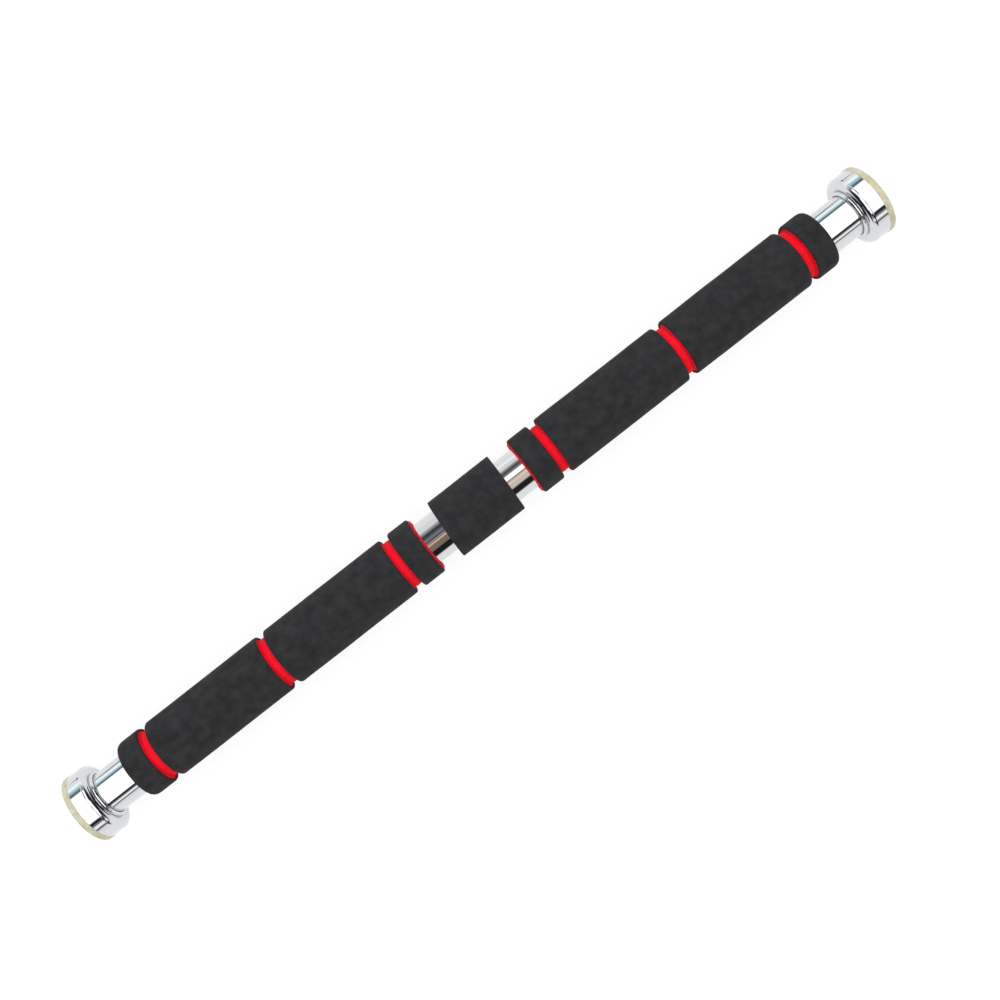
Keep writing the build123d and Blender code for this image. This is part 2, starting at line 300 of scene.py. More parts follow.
@dataclass(frozen=True)
class PlasticisedPvc:
    """Soft PVC, injection moulded and left natural, so it is a cloudy straw yellow.

    Light goes in and scatters, which makes the rim glow paler than its face. Mould flow leaves soft
    clouds a few millimetres across, and the mould's satin face keeps the shine broad.
    """

    name: str
    colour: str = "#E2DFC6"
    cloud_colour: str = "#D2CBAA"
    cloud_mm: float = 4.0
    grain_mm: float = 0.5
    grain_height_mm: float = 0.02
    scatter_mm: float = 2.2
    roughness: float = 0.38

    def build(self) -> bpy.types.Material:
        """Makes the material.

        Returns:
            The material, with the name of this finish.
        """
        material, tree, output = new_material(self.name)
        place = add_node(tree, "ShaderNodeTexCoord").outputs["Object"]
        clouds = add_node(
            tree, "ShaderNodeTexNoise", {"Scale": per_mm(self.cloud_mm), "Detail": 3.0}, {"Vector": place}
        )
        tint = add_node(
            tree,
            "ShaderNodeValToRGB",
            {"stops": [(0.38, linear(self.cloud_colour)), (0.66, linear(self.colour))]},
            {"Fac": clouds.outputs["Fac"]},
        )
        grain = add_node(
            tree, "ShaderNodeTexNoise", {"Scale": per_mm(self.grain_mm), "Detail": 2.0}, {"Vector": place}
        )
        bump = add_node(
            tree,
            "ShaderNodeBump",
            {"Distance": self.grain_height_mm * MM, "Strength": 1.0},
            {"Height": grain.outputs["Fac"]},
        )
        shader = add_node(
            tree,
            "ShaderNodeBsdfPrincipled",
            {
                "Roughness": self.roughness,
                "IOR": 1.53,
                "Subsurface Weight": 0.75,
                "Subsurface Radius": (1.0, 0.95, 0.6),
                "Subsurface Scale": self.scatter_mm * MM,
            },
            {"Base Color": tint.outputs["Color"], "Normal": bump.outputs[0]},
        )
        tree.links.new(shader.outputs[0], output.inputs["Surface"])
        return material


@dataclass(frozen=True)
class MouldedNylon:
    """Natural nylon 6, injection moulded: waxy off-white with a faint spark-eroded grain."""

    name: str
    colour: str = "#E6E3D6"
    grain_mm: float = 0.6
    grain_height_mm: float = 0.012
    roughness: float = 0.42

    def build(self) -> bpy.types.Material:
        """Makes the material.

        Returns:
            The material, with the name of this finish.
        """
        material, tree, output = new_material(self.name)
        place = add_node(tree, "ShaderNodeTexCoord").outputs["Object"]
        grain = add_node(
            tree, "ShaderNodeTexNoise", {"Scale": per_mm(self.grain_mm), "Detail": 3.0}, {"Vector": place}
        )
        bump = add_node(
            tree,
            "ShaderNodeBump",
            {"Distance": self.grain_height_mm * MM, "Strength": 1.0},
            {"Height": grain.outputs["Fac"]},
        )
        shader = add_node(
            tree,
            "ShaderNodeBsdfPrincipled",
            {
                "Base Color": linear(self.colour),
                "Roughness": self.roughness,
                "IOR": 1.53,
                "Subsurface Weight": 0.2,
                "Subsurface Radius": (1.0, 0.9, 0.7),
                "Subsurface Scale": 1.0 * MM,
            },
            {"Normal": bump.outputs[0]},
        )
        tree.links.new(shader.outputs[0], output.inputs["Surface"])
        return material


@dataclass(frozen=True)
class TurnedMetal:
    """Metal turned on a lathe about the bar's axis, bare or thinly zinc plated.

    The tool leaves feed rings a fraction of a millimetre apart, drawn here as far apart as they need
    to be to show, and plating or handling leaves soft patches in the shine.
    """

    name: str
    colour: str
    roughness: float = 0.24
    ring_mm: float = 3.14
    ring_height_mm: float = 0.004
    patch_mm: float = 6.0
    patch_haze: float = 1.7

    def build(self) -> bpy.types.Material:
        """Makes the material.

        Returns:
            The material, with the name of this finish.
        """
        material, tree, output = new_material(self.name)
        place = add_node(tree, "ShaderNodeTexCoord").outputs["Object"]
        rings = add_node(
            tree,
            "ShaderNodeTexWave",
            {
                "wave_type": "BANDS",
                "bands_direction": "X",
                "Scale": per_mm(self.ring_mm) * math.tau / WAVE_RADIANS,
                "Distortion": 0.6,
            },
            {"Vector": place},
        )
        bump = add_node(
            tree,
            "ShaderNodeBump",
            {"Distance": self.ring_height_mm * MM, "Strength": 1.0},
            {"Height": rings.outputs["Fac"]},
        )
        patches = add_node(
            tree, "ShaderNodeTexNoise", {"Scale": per_mm(self.patch_mm), "Detail": 4.0}, {"Vector": place}
        )
        rough = self.roughness * self.patch_haze
        shine = add_node(
            tree,
            "ShaderNodeMapRange",
            {"From Min": 0.3, "From Max": 0.7, "To Min": self.roughness, "To Max": rough},
            {"Value": patches.outputs["Fac"]},
        )
        shader = add_node(
            tree,
            "ShaderNodeBsdfPrincipled",
            {"Base Color": linear(self.colour), "Metallic": 1.0},
            {"Roughness": shine.outputs[0], "Normal": bump.outputs[0]},
        )
        tree.links.new(shader.outputs[0], output.inputs["Surface"])
        return material


@dataclass
class Palette:
    """Every finish on the bar, built once."""

    tube_chrome: bpy.types.Material = field(init=False)
    cup_chrome: bpy.types.Material = field(init=False)
    black_foam: bpy.types.Material = field(init=False)
    red_foam: bpy.types.Material = field(init=False)
    pad_pvc: bpy.types.Material = field(init=False)
    nylon: bpy.types.Material = field(init=False)
    zinc_steel: bpy.types.Material = field(init=False)
    brass: bpy.types.Material = field(init=False)

    def __post_init__(self) -> None:
        """Builds the materials."""
        self.tube_chrome = ChromePlate("chrome_drawn_tube").build()
        self.cup_chrome = ChromePlate("chrome_spun_cup", round_the_axis=True).build()
        self.black_foam = NitrileFoam("black_nitrile_foam", "#2C2B2D", "#3A393B").build()
        self.red_foam = NitrileFoam("red_nitrile_foam", "#FA0E24", "#FD1A2E", pore_depth_mm=0.1).build()
        self.pad_pvc = PlasticisedPvc("natural_pvc").build()
        self.nylon = MouldedNylon("natural_nylon").build()
        self.zinc_steel = TurnedMetal("zinc_plated_steel", "#B4B8BD").build()
        self.brass = TurnedMetal("turned_brass", "#C7A158", roughness=0.2).build()


# ---------------------------------------------------------------------------------------------
# Mesh making
# ---------------------------------------------------------------------------------------------


def arc(
    centre: Point, radius: float, start_deg: float, end_deg: float, steps: int, reach: float | None = None
) -> Outline:
    """Points on an arc in the half-section, from one angle to the other.

    Args:
        centre: The arc's centre as (station, radius from the axis), in millimetres.
        radius: The arc's radius in millimetres.
        start_deg: The first angle, counted from outward along the bar towards the rim.
        end_deg: The last angle.
        steps: How many straight steps stand for the arc.
        reach: The arc's radius along the bar, where it differs.

    Returns:
        The points, both ends included.
    """
    along = radius if reach is None else reach
    angles = (math.radians(start_deg + (end_deg - start_deg) * i / steps) for i in range(steps + 1))
    return [(centre[0] + along * math.cos(a), centre[1] + radius * math.sin(a)) for a in angles]


def divided(outline: Outline, longest_mm: float) -> Outline:
    """Splits the steps of a closed outline until none is longer than a limit.

    Args:
        outline: The corner points, in order.
        longest_mm: The longest step wanted.

    Returns:
        The points with the new ones in between.
    """
    points: Outline = []
    for (x0, r0), (x1, r1) in zip(outline, outline[1:] + outline[:1]):
        pieces = max(1, math.ceil(math.hypot(x1 - x0, r1 - r0) / longest_mm))
        points += [(x0 + (x1 - x0) * i / pieces, r0 + (r1 - r0) * i / pieces) for i in range(pieces)]
    return points


def weld_axis(mesh: bpy.types.Mesh) -> None:
    """Joins the points that a solid piece has on the axis, once for each segment, into one each.

    Args:
        mesh: The piece's mesh, which is changed.
    """
    work = bmesh.new()
    work.from_mesh(mesh)
    bmesh.ops.remove_doubles(work, verts=work.verts, dist=WELD_MM * MM)
    work.to_mesh(mesh)
    work.free()


@dataclass
class Lathe:
    """Turns a closed half-section about the bar's axis into a mesh piece.

    Args:
        name: The piece's name.
        outline: The half-section in millimetres, as (station, radius), counter-clockwise.
        side: Which end of the bar the stations count towards.
        segments: How many steps go round the axis.
        shape: Called with arrays of x, radius and angle, in millimetres and radians; returns the
            x and radius that the surface really has there.
    """

    name: str
    outline: Outline
    side: Side
    segments: int
    shape: Shape

    def build(self, material: bpy.types.Material) -> bpy.types.Object:
        """Makes the object.

        Args:
            material: The finish of the whole piece.

        Returns:
            The piece, in place in the row frame.
        """
        count = len(self.outline)
        stations = np.array([p[0] for p in self.outline])
        radii = np.array([p[1] for p in self.outline])
        angle = np.repeat(np.arange(self.segments) * (2 * math.pi / self.segments), count)
        x = np.tile(stations, self.segments) * self.side.value
        x, radius = self.shape(x, np.tile(radii, self.segments), angle)
        verts = np.column_stack((x, -radius * np.cos(angle), radius * np.sin(angle))) * MM
        ring, step = np.divmod(np.arange(count * self.segments), count)
        after = ring * count + (step + 1) % count
        beyond = (ring + 1) % self.segments * count
        faces = np.column_stack((ring * count + step, after, beyond + (step + 1) % count, beyond + step))
        if self.side is Side.RIGHT:
            faces = faces[:, ::-1]
        mesh = bpy.data.meshes.new(self.name)
        mesh.from_pydata(verts.tolist(), [], faces.tolist())
        if min(radii) == 0.0:
            weld_axis(mesh)
        mesh.validate()
        mesh.shade_smooth()
        mesh.materials.append(material)
        piece = bpy.data.objects.new(self.name, mesh)
        bpy.context.scene.collection.objects.link(piece)
        return piece


def ripple(x: np.ndarray, angle: np.ndarray, radius: np.ndarray, size_mm: float, seed: float) -> np.ndarray:
    """Smooth noise over a turned surface, the same on every run.

    Args:
        x: Station of each point in millimetres.
        angle: Angle of each point about the axis.
        radius: Radius of each point in millimetres.
        size_mm: How far apart the swells are.
        seed: Shifts the noise, so that pieces differ.

    Returns:
        Values from about -1 to 1.
    """
    points = np.column_stack((x, radius * np.cos(angle), radius * np.sin(angle))) / size_mm + seed
    return np.array([noise.noise(Vector(p)) for p in points])


# ---------------------------------------------------------------------------------------------
# Foam
# ---------------------------------------------------------------------------------------------


class FoamSizes:
    """Sizes that the foam pieces share, in millimetres, and how many steps go round them."""

    BORE_R = 15.0
    OUTER_R = 20.8
    CORE_R = 19.2
    GRIP_START = 40.7
    GRIP_END = 276.7
    OVERHANG = 1.0
    GROOVES = (59.8, 161.2)
    GROOVE_WIDTH = 6.0
    FLOOR_R = 16.8
    FLOOR_CROWN = 0.75
    CLEARANCE = 0.05
    STEP = 0.9
    CORE_SEGMENTS = 150
    SKIN_SEGMENTS = 160


@dataclass
class FoamSurface:
    """How ground foam departs from a true cylinder: long swells, and a fine grain that can be felt.

    The bore stays true up to true_depth above it, and the skin has its full roughness from
    fade_depth further out. The shifts keep the grain and the roughness apart from the swells.
    """

    seed: float
    swell_mm: float = 26.0
    swell_height: float = 0.16
    grain_mm: float = 1.9
    grain_height: float = 0.045
    rough_ratio: float = 1.7
    grain_shift: float = 31.7
    rough_shift: float = 77.1
    true_depth: float = 0.4
    fade_depth: float = 1.2

    def __call__(
        self, x: np.ndarray, radius: np.ndarray, angle: np.ndarray
    ) -> tuple[np.ndarray, np.ndarray]:
        """Moves the outer skin in and out and leaves the bore true.

        Args:
            x: Station of each point in millimetres.
            radius: Radius of each point in millimetres.
            angle: Angle of each point about the axis.

        Returns:
            The x and radius of each point.
        """
        skin = np.clip((radius - FoamSizes.BORE_R - self.true_depth) / self.fade_depth, 0.0, 1.0)
        swell = ripple(x, angle, radius, self.swell_mm, self.seed) * self.swell_height
        grain = ripple(x, angle, radius, self.grain_mm, self.seed + self.grain_shift) * self.grain_height
        rough_mm = self.grain_mm * self.rough_ratio
        rough = ripple(x, angle, radius, rough_mm, self.seed + self.rough_shift) * self.grain_height
        return x + rough * skin, radius + (swell + grain - self.swell_height / 3) * skin


@dataclass
class FoamGrip:
    """One grip: a red core, seen in three grooves and at its inner end, under four black bands.

    The last band stands end_cap past the CAD grip, with an edge rounded over end_cap_edge along the
    bar. It closes over the core, which ends core_recess short of it. Each groove's walls stand back
    by undercut under the bands' edges, and its floor stops floor_inset short of the walls.
    """

    side: Side
    palette: Palette
    last_groove: float
    end_cap: float = 0.9
    end_cap_edge: float = 4.0
    end_cap_steps: int = 10
    core_recess: float = 2.6
    core_swell: float = 0.06
    edge_r: float = 1.5
    edge_steps: int = 8
    lip_r: float = 1.1
    lip_steps: int = 6
    undercut: float = 0.6
    floor_inset: float = 0.35
    floor_steps: int = 10
    seed_step: float = 11.3

    def grooves(self) -> tuple[float, ...]:
        """The middle stations of the three grooves."""
        return (*FoamSizes.GROOVES, self.last_groove)

    def band_spans(self) -> list[Span]:
        """Works out where the black bands lie.

        Returns:
            The start and end station of each band.
        """
        half = FoamSizes.GROOVE_WIDTH / 2
        cuts = [FoamSizes.GRIP_START]
        for station in self.grooves():
            cuts += [station - half, station + half]
        cuts.append(FoamSizes.GRIP_END + self.end_cap)
        return list(zip(cuts[0::2], cuts[1::2]))

    def core_outline(self) -> Outline:
        """Draws the core, with a rounded lip at its inner end and a crowned floor in each groove.

        Returns:
            The core's half-section.
        """
        start = FoamSizes.GRIP_START - FoamSizes.OVERHANG
        end = FoamSizes.GRIP_END + self.end_cap - self.core_recess
        bore, outer, lip = FoamSizes.BORE_R, FoamSizes.CORE_R, self.lip_r
        points: Outline = [(start, bore), (end, bore), (end, outer)]
        for station in reversed(self.grooves()):
            points += self.groove(station)
        points += arc((start + lip, outer - lip), lip, 90, 180, self.lip_steps)
        return divided(points, FoamSizes.STEP)

    def groove(self, station: float) -> Outline:
        """Draws one groove's crowned floor and its walls, which stand back under the bands' edges.

        Args:
            station: The middle of the groove.

        Returns:
            The points from the groove's outer edge to its inner edge.
        """
        half = FoamSizes.GROOVE_WIDTH / 2 + self.undercut
        points: Outline = [(station + half, FoamSizes.CORE_R)]
        for i in range(self.floor_steps + 1):
            t = 1 - 2 * i / self.floor_steps
            crown = FoamSizes.FLOOR_CROWN * (1 - t**2)
            points.append((station + (half - self.floor_inset) * t, FoamSizes.FLOOR_R + crown))
        points.append((station - half, FoamSizes.CORE_R))
        return points

    def band_outline(self, start: float, end: float) -> Outline:
        """Draws a black band. The last one closes over the core's end with a softer edge.

        Args:
            start: The station of its inner end.
            end: The station of its outer end.

        Returns:
            The band's half-section.
        """
        inner, outer = FoamSizes.CORE_R, FoamSizes.OUTER_R
        depth = outer - inner - FoamSizes.CLEARANCE
        points: Outline = [(start, inner)]
        if end > FoamSizes.GRIP_END:
            bore = FoamSizes.BORE_R + FoamSizes.CLEARANCE
            floor, reach = end - self.core_recess, self.end_cap_edge
            points += [(floor, inner), (floor, bore), (end, bore)]
            points += arc((end - reach, outer - depth), depth, 0, 90, self.end_cap_steps, reach)
        else:
            points.append((end, inner))
            points += arc((end - self.edge_r, outer - depth), depth, 0, 90, self.edge_steps)
        points += arc((start + self.edge_r, outer - depth), depth, 90, 180, self.edge_steps)
        return divided(points, FoamSizes.STEP)

    def build(self) -> list[bpy.types.Object]:
        """Makes the core and its bands.

        Returns:
            The pieces.
        """
        word = self.side.word
        seed = self.seed_step * (self.side.value + 2)
        core = Lathe(
            f"{word}_grip_core_foam",
            self.core_outline(),
            self.side,
            FoamSizes.CORE_SEGMENTS,
            FoamSurface(seed, swell_height=self.core_swell),
        ).build(self.palette.red_foam)
        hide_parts(f"{word}_grip_core")
        pieces = [core]
        for number, (start, end) in enumerate(self.band_spans(), start=1):
            band = Lathe(
                f"{word}_grip_band_{number}_foam",
                self.band_outline(start, end),
                self.side,
                FoamSizes.SKIN_SEGMENTS,
                FoamSurface(seed),
            ).build(self.palette.black_foam)
            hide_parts(f"{word}_grip_band_{number}")
            pieces.append(band)
        for piece in pieces:
            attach(piece, "main_bar")
        return pieces


@dataclass
class CentreSleeve:
    """The short black sleeve round the middle, cut off the roll by hand, so its ends are askew.

    A skew is how far a cut leans along the bar for each millimetre from front to back.
    """

    palette: Palette
    left_half: float = 24.5
    right_half: float = 24.8
    corner: float = 0.35
    corner_steps: int = 3
    left_skew: float = 0.052
    right_skew: float = 0.026
    seed: float = 5.1

    def askew(self, x: np.ndarray, radius: np.ndarray, angle: np.ndarray) -> tuple[np.ndarray, np.ndarray]:
        """Leans the two cut faces and gives the skin its foam surface.

        Args:
            x: Station of each point in millimetres.
            radius: Radius of each point in millimetres.
            angle: Angle of each point about the axis, from the front round through the top.

        Returns:
            The x and radius of each point.
        """
        back = -radius * np.cos(angle)
        lean = np.where(x < 0, self.left_skew, self.right_skew)
        leant = x + back * lean * np.abs(x) / self.left_half
        return FoamSurface(self.seed)(leant, radius, angle)

    def build(self) -> bpy.types.Object:
        """Makes the sleeve.

        Returns:
            The piece.
        """
        outer, corner, steps = FoamSizes.OUTER_R, self.corner, self.corner_steps
        points: Outline = [(-self.left_half, FoamSizes.BORE_R), (self.right_half, FoamSizes.BORE_R)]
        points += arc((self.right_half - corner, outer - corner), corner, 0, 90, steps)
        points += arc((corner - self.left_half, outer - corner), corner, 90, 180, steps)
        sleeve = Lathe(
            "centre_sleeve_foam",
            divided(points, FoamSizes.STEP),
            Side.RIGHT,
            FoamSizes.SKIN_SEGMENTS,
            self.askew,
        ).build(self.palette.black_foam)
        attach(sleeve, "main_bar")
        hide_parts("centre_sleeve")
        return sleeve


@dataclass
class EndPad:
    """The soft pad that bears on the door frame: a fat rim, a crowned face, and rings cut for grip.

    Its rim covers the edge of the cup, and its boss sits inside the cup's mouth.
    """

    side: Side
    palette: Palette
    face: float = 320.0
    cup_edge: float = 315.1
    boss_start: float = 314.1
    boss_r: float = 22.95
    outer_r: float = 24.5
    rim_round: float = 1.5
    crown: float = 0.25
    ring_radii: tuple[float, ...] = (9.0, 14.0, 19.0)
    ring_width: float = 1.7
    ring_depth: float = 0.8
    ring_steps: int = 8
    rim_steps: int = 7
    back_steps: int = 5
    rim_wave: float = 0.12
    wave_mm: float = 7.0
    seed: float = 3.3
    step: float = 0.8
    segments: int = 144

    def face_outline(self) -> Outline:
        """Draws the face from the axis out to the rim, with its half-round channels.

        Returns:
            The face's part of the half-section.
        """
        points: Outline = [(self.face, 0.0)]
        half = self.ring_steps // 2
        for radius in self.ring_radii:
            for i in range(-half, half + 1):
                turn = math.pi / 2 * i / half
                depth = self.ring_depth * math.cos(turn)
                r = radius + self.ring_width / 2 * math.sin(turn)
                points.append((self.face - self.crown * (r / self.outer_r) ** 2 - depth, r))
        return points

    def rough(self, x: np.ndarray, radius: np.ndarray, angle: np.ndarray) -> tuple[np.ndarray, np.ndarray]:
        """Gives the rim the slight waviness of a soft moulding.

        Args:
            x: Station of each point in millimetres.
            radius: Radius of each point in millimetres.
            angle: Angle of each point about the axis.

        Returns:
            The x and radius of each point.
        """
        rim = np.clip((radius - self.boss_r) / (self.outer_r - self.boss_r), 0.0, 1.0)
        return x, radius - self.rim_wave * rim * (1 + ripple(x, angle, radius, self.wave_mm, self.seed))

    def build(self) -> bpy.types.Object:
        """Makes the pad.

        Returns:
            The piece.
        """
        rim = self.rim_round
        points = self.face_outline()
        points += arc((self.face - self.crown - rim, self.outer_r - rim), rim, 0, 90, self.rim_steps)
        points += arc(
            (self.cup_edge + rim / 2, self.outer_r - rim / 2), rim / 2, 90, 180, self.back_steps
        )
        points += [(self.cup_edge, self.boss_r), (self.boss_start, self.boss_r), (self.boss_start, 0.0)]
        pad = Lathe(
            f"{self.side.word}_end_pad_soft",
            divided(points, self.step),
            self.side,
            self.segments,
            self.rough,
        ).build(self.palette.pad_pvc)
        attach(pad, f"{self.side.word}_end")
        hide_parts(f"{self.side.word}_end_pad")
        return pad


# ---------------------------------------------------------------------------------------------
# Metal and plastic parts that keep their CAD shape
# ---------------------------------------------------------------------------------------------


@dataclass
class Hardware:
    """The CAD parts that show as they are, each given its finish."""

    frame: dict
    palette: Palette

    def finishes(self) -> dict[str, bpy.types.Material]:
        """Says what every hard part is finished in.

        Returns:
            The material of each part, by its CAD name without the side.
        """
        p = self.palette
        return {
            "main_tube": p.tube_chrome,
            "inner_tube": p.tube_chrome,
            "end_cup": p.cup_chrome,
            "centre_plug": p.nylon,
            "guide_bush": p.nylon,
            "wear_ring": p.nylon,
            "travel_nut": p.brass,
            "lead_screw": p.zinc_steel,
            "cross_pins": p.zinc_steel,
            "stop_washers": p.zinc_steel,
            "retaining_clips": p.zinc_steel,
            "tube_plug": p.zinc_steel,
            "backing_disc": p.zinc_steel,
            "cup_screw": p.zinc_steel,
        }

    def dress(self) -> int:
        """Gives every CAD part that shows its material.

        Returns:
            How many parts were dressed.
        """
        finishes, dressed = self.finishes(), 0
        for name, part in self.frame["nodes"].items():
            kind = name.removeprefix("left_").removeprefix("right_")
            if kind not in finishes:
                continue
            part.data.materials.clear()
            part.data.materials.append(finishes[kind])
            dressed += 1
        return dressed


# ---------------------------------------------------------------------------------------------
# Studio
# ---------------------------------------------------------------------------------------------


@dataclass
class Studio:
    """A white table under soft light, seen from straight above the bar.

    Chrome shows its surroundings, so they are drawn as bands round the bar's axis. The angle of a
    band is counted from straight up, and grows towards the front of the table. A fade is two values
    of how far along the bar a view goes, from 0 for square to it up to 1, or -1 for the left. Between
    them, one set of surroundings gives way to the next.
    """

    floor_z: float = -24.5
    floor_size_m: float = 12.0
    floor_colour: str = "#7C7C7C"
    floor_glow: float = 0.86
    # painted reflection: where the black cards lie that only the chrome sees, as a thin dark line
    flag_span: Span = (318.0, 369.0)
    flag_distance: float = 138.0
    flag_width: float = 85.0
    flag_lift: float = 0.5
    right_fade: Span = (-0.02, 0.0)
    ends_fade: Span = (0.12, 0.2)
    along_fade: Span = (0.48, 0.55)
    far_fade: Span = (0.64, 0.72)
    camera_station: float = 8.24
    camera_height: float = 766.0
    yaw_deg: float = 1.02
    roll_deg: float = 37.9876
    lens_mm: float = 42.826
    sensor_mm: float = 36.0
    shift: Point = (0.0309, 0.01115)
    clip_m: Span = (0.01, 50.0)

    STRAIGHT_DOWN = 180.0
    TABLE_EDGE = 104.0
    TABLE = (0.95, 0.95, 0.96)
    UNDER = (0.3, 0.3, 0.3)
    LAMP = (2.0, 2.0, 2.0)

    def stops(self, bands: list[Band]) -> list[tuple[float, Colour]]:
        """A colour ramp's stops for things seen round the bar's axis, which blur into each other.

        Args:
            bands: Where each thing starts and ends, in degrees from straight up, and its light. The
                table lies beyond them on both sides.

        Returns:
            The places on the ramp, from 0 to 1, and the colours.
        """
        down, edge = self.STRAIGHT_DOWN, self.TABLE_EDGE
        found = [(-down, self.UNDER), (-edge, self.TABLE)]
        for start, end, light in bands:
            found += [(start, light), (end, light)]
        found += [(edge, self.TABLE), (down, self.UNDER)]
        return [((angle + down) / (2 * down), (*light, 1.0)) for angle, light in found]

    def build_world(self) -> None:
        """Makes the surroundings as bands, which differ with how far along the bar the view goes."""
        world = bpy.data.worlds.new("studio")
        bpy.context.scene.world = world
        world.use_nodes = True
        tree = world.node_tree
        tree.nodes.clear()
        way = add_node(tree, "ShaderNodeTexCoord").outputs["Generated"]
        parts = add_node(tree, "ShaderNodeSeparateXYZ", links={"Vector": way})
        front = add_node(tree, "ShaderNodeMath", {"operation": "MULTIPLY", 1: -1.0}, {0: parts.outputs["Y"]})
        angle = add_node(
            tree, "ShaderNodeMath", {"operation": "ARCTAN2"}, {0: front.outputs[0], 1: parts.outputs["Z"]}
        )
        turn = add_node(
            tree,
            "ShaderNodeMapRange",
            {"From Min": -math.pi, "From Max": math.pi},
            {"Value": angle.outputs[0]},
        )
        far = add_node(tree, "ShaderNodeMath", {"operation": "ABSOLUTE"}, {0: parts.outputs["X"]})
        views = (
            self.above_left(),
            self.above_right(),
            self.over_ends(),
            self.along_bar(),
            self.far_along_bar(),
        )
        light, *others = (
            add_node(
                tree, "ShaderNodeValToRGB", {"stops": self.stops(bands)}, {"Fac": turn.outputs[0]}
            ).outputs["Color"]
            for bands in views
        )
        fades = (
            (parts.outputs["X"], self.right_fade),
            (far.outputs[0], self.ends_fade),
            (far.outputs[0], self.along_fade),
            (far.outputs[0], self.far_fade),
        )
        for other, (along, (start, end)) in zip(others, fades):
            share = add_node(
                tree, "ShaderNodeMapRange", {"From Min": start, "From Max": end}, {"Value": along}
            )
            light = add_node(
                tree, "ShaderNodeMix", {"data_type": "RGBA"}, {0: share.outputs[0], 6: light, 7: other}
            ).outputs[2]
        glow = add_node(tree, "ShaderNodeBackground", {"Strength": 1.0}, {"Color": light})
        plain = add_node(tree, "ShaderNodeBackground", {"Color": linear("#FFFFFF"), "Strength": 1.0})
        seen = add_node(tree, "ShaderNodeLightPath").outputs["Is Camera Ray"]
        mix = add_node(tree, "ShaderNodeMixShader", links={0: seen, 1: glow.outputs[0], 2: plain.outputs[0]})
        add_node(tree, "ShaderNodeOutputWorld", links={"Surface": mix.outputs[0]})

    def over_ends(self) -> list[Band]:
        """Over the bar's ends: one wide softbox, a blue-grey wall behind it and a dark gap in front.

        Returns:
            The bands, from behind the bar round to its front.
        """
        return [
            (-94, -93, self.TABLE),
            (-90, -83, (1.15, 1.4, 1.45)),  # wall
            (-73, -71, (0.52, 0.68, 0.72)),  # wall in shade
            (-63, -60, (0.09, 0.13, 0.14)),  # edge of the softbox
            (-53, 39, self.LAMP),
            (44, 50, (0.01, 0.01, 0.01)),  # gap
            (54, 57, (0.2, 0.2, 0.2)),
            (62, 67, (1.25, 1.25, 1.25)),  # strip lamp
            (73, 76, (0.13, 0.13, 0.13)),
            (80, 83, (1.0, 1.0, 1.0)),
            (89, 90, self.TABLE),
        ]

    def along_bar(self) -> list[Band]:
        """Low along the bar: dim on both sides of a narrow light gap straight above.

        Returns:
            The bands, from behind the bar round to its front.
        """
        return [
            (-84, -82, self.TABLE),
            (-66, -62, (0.48, 0.46, 0.48)),
            (-38, -20, (0.08, 0.05, 0.055)),
            (-16, 27, (1.8, 1.8, 1.8)),  # light gap
            (32, 46, (0.08, 0.075, 0.085)),
            (60, 62, (0.5, 0.5, 0.52)),
            (76, 78, self.TABLE),
        ]

    def far_along_bar(self) -> list[Band]:
        """Level with the bar: the dark room past its ends.

        Returns:
            The bands, from behind the bar round to its front.
        """
        return [
            (-90, -90, (0.3, 0.3, 0.31)),
            (-76, 76, (0.03, 0.03, 0.034)),
            (90, 90, (0.3, 0.3, 0.31)),
        ]

    def above_left(self) -> list[Band]:
        """Over the left half of the middle: dim clutter, brown wood, then a dark gap in front.

        Returns:
            The bands, from behind the bar round to its front.
        """
        return [
            (-64, -62, self.TABLE),
            (-53, -50, (0.43, 0.43, 0.45)),
            (-38, -33, (0.06, 0.06, 0.075)),
            (-19, -8, (0.23, 0.23, 0.27)),  # clutter
            (-4, -2, (0.07, 0.055, 0.06)),
            (3, 11, (0.42, 0.31, 0.26)),  # wood
            (17, 20, (0.95, 0.7, 0.58)),  # pale edge of it
            (26, 46, (0.29, 0.2, 0.15)),
            (51, 81, (0.015, 0.017, 0.02)),  # gap
            (88, 90, self.TABLE),
        ]

    def above_right(self) -> list[Band]:
        """Over the right half of the middle: one bright lamp, pale wood, then the same dark gap.

        Returns:
            The bands, from behind the bar round to its front.
        """
        return [
            (-94, -92, self.TABLE),
            (-89, -80, (1.25, 1.25, 1.25)),  # pale panel
            (-76, -61, self.TABLE),
            (-51, -48, (0.33, 0.32, 0.32)),
            (-42, -38, (0.1, 0.085, 0.085)),
            (-31, -30, (0.26, 0.22, 0.22)),
            (-25, -4, self.LAMP),
            (2, 4, (0.33, 0.2, 0.18)),
            (9, 14, (0.9, 0.64, 0.57)),  # wood
            (18, 20, (1.3, 1.05, 0.9)),
            (26, 43, (0.8, 0.7, 0.62)),
            (50, 81, (0.02, 0.018, 0.022)),  # gap
            (88, 90, self.TABLE),
        ]

    def build_floor(self) -> None:
        """Makes the pale table, which glows so that the bar's shadow stays faint.

        The light that it would throw up comes from the lower half of the surroundings, which is dimmer.
        """
        half = self.floor_size_m / MM / 2
        shader = {
            "Base Color": linear(self.floor_colour),
            "Roughness": 1.0,
            "Specular IOR Level": 0.0,
            "Emission Color": linear("#FFFFFF"),
            "Emission Strength": self.floor_glow,
        }
        table = self.sheet("table_top", (-half, half), (-half, half), self.floor_z, shader)
        table.visible_diffuse = False

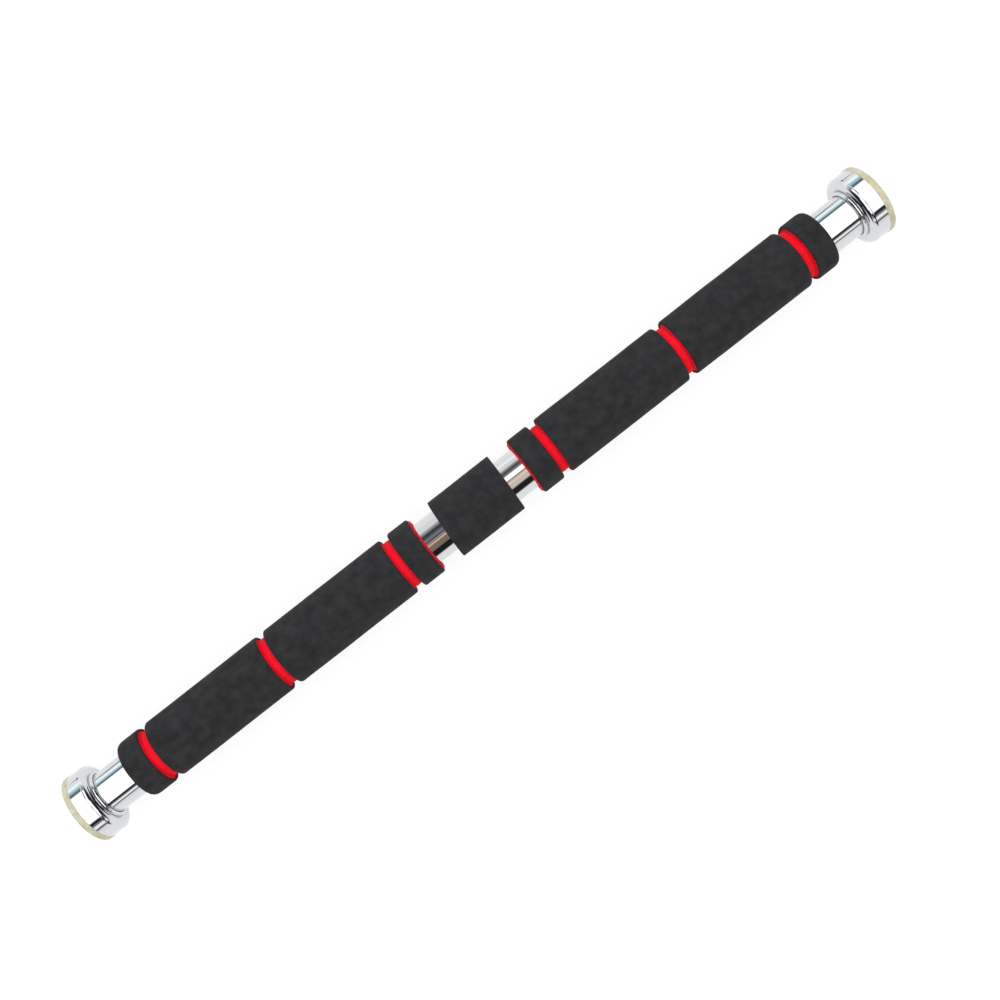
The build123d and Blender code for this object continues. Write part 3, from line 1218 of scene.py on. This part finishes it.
    def build_flags(self) -> None:
        """Lays a black card behind each end as a painted reflection: only the chrome sees it, as a thin dark
        line along it, and it throws no shadow and is not seen by the camera.
        """
        shader = {"Base Color": linear("#101010"), "Roughness": 1.0, "Specular IOR Level": 0.0}
        inner, outer = self.flag_span
        depth = (self.flag_distance, self.flag_distance + self.flag_width)
        for side in Side:
            span = (side.value * inner, side.value * outer)
            card = self.sheet(f"{side.word}_flag", span, depth, self.floor_z + self.flag_lift, shader)
            # painted reflection: the card shows only in glossy reflections and throws no shadow or light
            card.visible_camera = card.visible_diffuse = card.visible_shadow = False

    def sheet(self, name: str, span: Span, depth: Span, height: float, shader: dict) -> bpy.types.Object:
        """Makes a flat level sheet that belongs to the studio.

        Args:
            name: Its name.
            span: From and to along the bar, in millimetres.
            depth: From and to across the bar.
            height: Its level.
            shader: Settings of its plain material.

        Returns:
            The sheet.
        """
        mesh = bpy.data.meshes.new(name)
        turns = ((0, 0), (1, 0), (1, 1), (0, 1))
        places = [(span[i] * MM, depth[j] * MM, height * MM) for i, j in turns]
        mesh.from_pydata(places, [], [(0, 1, 2, 3)])
        material, tree, output = new_material(name)
        surface = add_node(tree, "ShaderNodeBsdfPrincipled", shader)
        tree.links.new(surface.outputs[0], output.inputs["Surface"])
        mesh.materials.append(material)
        plane = bpy.data.objects.new(name, mesh)
        bpy.context.scene.collection.objects.link(plane)
        return plane

    def build_camera(self) -> None:
        """Hangs the camera over the bar, rolled so that the bar climbs to the upper right."""
        data = bpy.data.cameras.new("camera")
        data.sensor_width = self.sensor_mm
        data.lens = self.lens_mm
        data.shift_x, data.shift_y = self.shift
        data.clip_start, data.clip_end = self.clip_m
        camera = bpy.data.objects.new("camera", data)
        bpy.context.scene.collection.objects.link(camera)
        yaw = Matrix.Rotation(math.radians(self.yaw_deg), 4, "Y")
        roll = Matrix.Rotation(math.radians(-self.roll_deg), 4, "Z")
        place = Matrix.Translation((self.camera_station * MM, 0.0, self.camera_height * MM))
        camera.matrix_world = place @ yaw @ roll
        bpy.context.scene.camera = camera

    def build(self) -> None:
        """Makes the camera, the surroundings and the table."""
        self.build_camera()
        self.build_world()
        self.build_floor()
        self.build_flags()
        bpy.context.scene.view_settings.view_transform = "Standard"


def main() -> None:
    """Loads the frame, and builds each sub-assembly in order."""
    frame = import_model()
    Studio().build()
    LOG.info("studio built")
    palette = Palette()
    LOG.info("dressed %d CAD parts", Hardware(frame, palette).dress())
    for grip in (
        FoamGrip(Side.LEFT, palette, last_groove=258.1),
        FoamGrip(Side.RIGHT, palette, last_groove=259.2, end_cap=1.5),
    ):
        for piece in grip.build():
            LOG.info("built %s", piece.name)
    LOG.info("built %s", CentreSleeve(palette).build().name)
    for side in Side:
        LOG.info("built %s", EndPad(side, palette).build().name)


if __name__ == "__main__":
    logging.basicConfig(level=logging.INFO, format="%(name)s: %(message)s")
    main()
